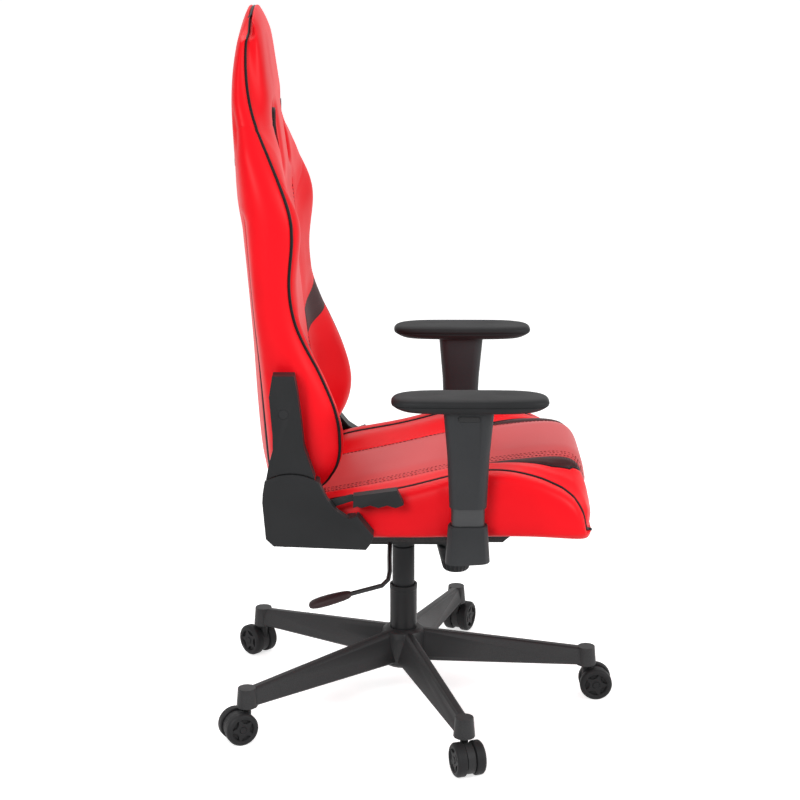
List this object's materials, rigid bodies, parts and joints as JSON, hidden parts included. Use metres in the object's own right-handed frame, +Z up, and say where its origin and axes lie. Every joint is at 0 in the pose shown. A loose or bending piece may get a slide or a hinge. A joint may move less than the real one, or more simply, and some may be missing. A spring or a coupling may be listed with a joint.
{
  "type": "racing-style swivel chair",
  "caption": "Racing-style swivel chair: bucket seat, reclining winged back, height-adjustable armrests, gas lift, tilt mechanism and star base on casters.",
  "frame": {"origin": "where the swivel axis meets the floor", "axes": "+X the way the sitter faces, +Y the sitter's left, +Z up"},
  "size_m": [0.719, 0.7551, 1.2746],
  "materials": {
    "red_upholstery": "satin",
    "caster_tread": "matte",
    "guide_bush": "matte",
    "bright_steel": "satin",
    "grey_aluminium": "satin",
    "black_steel": "satin",
    "black_nylon": "matte",
    "charcoal_plastic": "matte"
  },
  "bodies": {
    "base": {"five_star_base": "black_nylon", "gas_lift_tube": "black_steel", "guide_bush": "guide_bush"},
    "caster_1": {"caster_housing_1": "black_nylon"},
    "wheels_1": {"caster_wheels_1": "caster_tread"},
    "caster_2": {"caster_housing_2": "black_nylon"},
    "wheels_2": {"caster_wheels_2": "caster_tread"},
    "caster_3": {"caster_housing_3": "black_nylon"},
    "wheels_3": {"caster_wheels_3": "caster_tread"},
    "caster_4": {"caster_housing_4": "black_nylon"},
    "wheels_4": {"caster_wheels_4": "caster_tread"},
    "caster_5": {"caster_housing_5": "black_nylon"},
    "wheels_5": {"caster_wheels_5": "caster_tread"},
    "lift": {"gas_lift_piston": "bright_steel", "column_cover": "charcoal_plastic"},
    "mechanism": {"mechanism_housing": "black_steel", "tension_spring": "bright_steel"},
    "tension_adjuster": {"tension_bolt": "bright_steel", "tension_knob": "charcoal_plastic"},
    "lift_lever": {"lift_lever_rod": "black_steel", "lift_lever_boss": "charcoal_plastic", "lift_lever_paddle": "charcoal_plastic"},
    "seat": {"armrest_bracket_left": "black_steel", "armrest_bracket_right": "black_steel", "armrest_post_left": "grey_aluminium", "armrest_post_right": "grey_aluminium", "armrest_sleeve_left": "charcoal_plastic", "armrest_sleeve_right": "charcoal_plastic", "boot_cover_left": "charcoal_plastic", "boot_cover_right": "charcoal_plastic", "recliner_bracket_left": "black_steel", "recliner_bracket_right": "black_steel", "seat_cross_bar_front": "black_steel", "seat_cross_bar_rear": "black_steel", "seat_cushion": "red_upholstery", "seat_plate": "black_steel", "seat_rail_left": "black_steel", "seat_rail_right": "black_steel", "tilt_axle": "bright_steel"},
    "recline_lever": {"recliner_shaft": "bright_steel", "recline_lever_arm": "black_steel", "recline_lever_grip": "charcoal_plastic"},
    "back": {"arm_cover_left": "charcoal_plastic", "arm_cover_right": "charcoal_plastic", "back_cushion": "red_upholstery", "back_frame": "black_steel", "back_wing_left": "red_upholstery", "back_wing_right": "red_upholstery", "belt_slot_bezel_left": "charcoal_plastic", "belt_slot_bezel_right": "charcoal_plastic", "bolt_plug_left": "charcoal_plastic", "bolt_plug_right": "charcoal_plastic", "hinge_arm_left": "black_steel", "hinge_arm_right": "black_steel"},
    "armrest_left": {"armrest_shell_left": "charcoal_plastic", "armrest_pad_left": "charcoal_plastic"},
    "arm_button_left": {"armrest_button_left": "charcoal_plastic"},
    "armrest_right": {"armrest_shell_right": "charcoal_plastic", "armrest_pad_right": "charcoal_plastic"},
    "arm_button_right": {"armrest_button_right": "charcoal_plastic"}
  },
  "joints": [
    {"name": "caster_swivel_1", "type": "hinge", "parent": "base", "child": "caster_1", "pos_m": [0.342, 0, 0.064], "axis": [0, 0, 1], "continuous": true},
    {"name": "wheel_roll_1", "type": "hinge", "parent": "caster_1", "child": "wheels_1", "pos_m": [0.36, 0, 0.03], "axis": [0, 1, 0], "continuous": true},
    {"name": "caster_swivel_2", "type": "hinge", "parent": "base", "child": "caster_2", "pos_m": [0.10568, -0.32526, 0.064], "axis": [0, 0, 1], "continuous": true},
    {"name": "wheel_roll_2", "type": "hinge", "parent": "caster_2", "child": "wheels_2", "pos_m": [0.11125, -0.34238, 0.03], "axis": [0.9511, 0.309, 0], "continuous": true},
    {"name": "caster_swivel_3", "type": "hinge", "parent": "base", "child": "caster_3", "pos_m": [-0.27668, -0.20102, 0.064], "axis": [0, 0, 1], "continuous": true},
    {"name": "wheel_roll_3", "type": "hinge", "parent": "caster_3", "child": "wheels_3", "pos_m": [-0.29272, -0.20919, 0.03], "axis": [0.454, -0.891, 0], "continuous": true},
    {"name": "caster_swivel_4", "type": "hinge", "parent": "base", "child": "caster_4", "pos_m": [-0.27668, 0.20102, 0.064], "axis": [0, 0, 1], "continuous": true},
    {"name": "wheel_roll_4", "type": "hinge", "parent": "caster_4", "child": "wheels_4", "pos_m": [-0.28919, 0.21397, 0.03], "axis": [-0.7193, -0.6947, 0], "continuous": true},
    {"name": "caster_swivel_5", "type": "hinge", "parent": "base", "child": "caster_5", "pos_m": [0.10568, 0.32526, 0.064], "axis": [0, 0, 1], "continuous": true},
    {"name": "wheel_roll_5", "type": "hinge", "parent": "caster_5", "child": "wheels_5", "pos_m": [0.113, 0.3417, 0.03], "axis": [-0.9135, 0.4067, 0], "continuous": true},
    {"name": "height_slide", "type": "slide", "parent": "base", "child": "lift", "axis": [0, 0, 1], "range_m": [-0.045, 0.025]},
    {"name": "seat_swivel", "type": "hinge", "parent": "lift", "child": "mechanism", "pos_m": [0, 0, 0.306], "axis": [0, 0, 1], "continuous": true},
    {"name": "tension_turn", "type": "hinge", "parent": "mechanism", "child": "tension_adjuster", "pos_m": [0.097, 0, 0.303], "axis": [0, 0, 1], "continuous": true},
    {"name": "lift_lever_hinge", "type": "hinge", "parent": "mechanism", "child": "lift_lever", "pos_m": [-0.024, -0.062, 0.33], "axis": [0, 1, 0], "range_deg": [0, 12], "stiffness_Nm_per_rad": 2, "springref_deg": -11.46},
    {"name": "seat_tilt", "type": "hinge", "parent": "mechanism", "child": "seat", "pos_m": [0.045, 0, 0.338], "axis": [0, -1, 0], "range_deg": [0, 12], "stiffness_Nm_per_rad": 220, "springref_deg": -22.92},
    {"name": "back_recline", "type": "hinge", "parent": "seat", "child": "back", "pos_m": [-0.187, 0, 0.437], "axis": [0, -1, 0], "range_deg": [0, 45]},
    {"name": "recline_lever_hinge", "type": "hinge", "parent": "seat", "child": "recline_lever", "pos_m": [-0.187, 0, 0.437], "axis": [0, -1, 0], "range_deg": [0, 18], "stiffness_Nm_per_rad": 3, "springref_deg": -14.32},
    {"name": "armrest_height_left", "type": "slide", "parent": "seat", "child": "armrest_left", "axis": [0, 0, 1], "range_m": [-0.024, 0.05]},
    {"name": "arm_button_press_left", "type": "slide", "parent": "armrest_left", "child": "arm_button_left", "axis": [0, -1, 0], "range_m": [0, 0.0024], "stiffness_N_per_m": 250},
    {"name": "armrest_height_right", "type": "slide", "parent": "seat", "child": "armrest_right", "axis": [0, 0, 1], "range_m": [-0.024, 0.05]},
    {"name": "arm_button_press_right", "type": "slide", "parent": "armrest_right", "child": "arm_button_right", "axis": [0, 1, 0], "range_m": [0, 0.0024], "stiffness_N_per_m": 250}
  ]
}
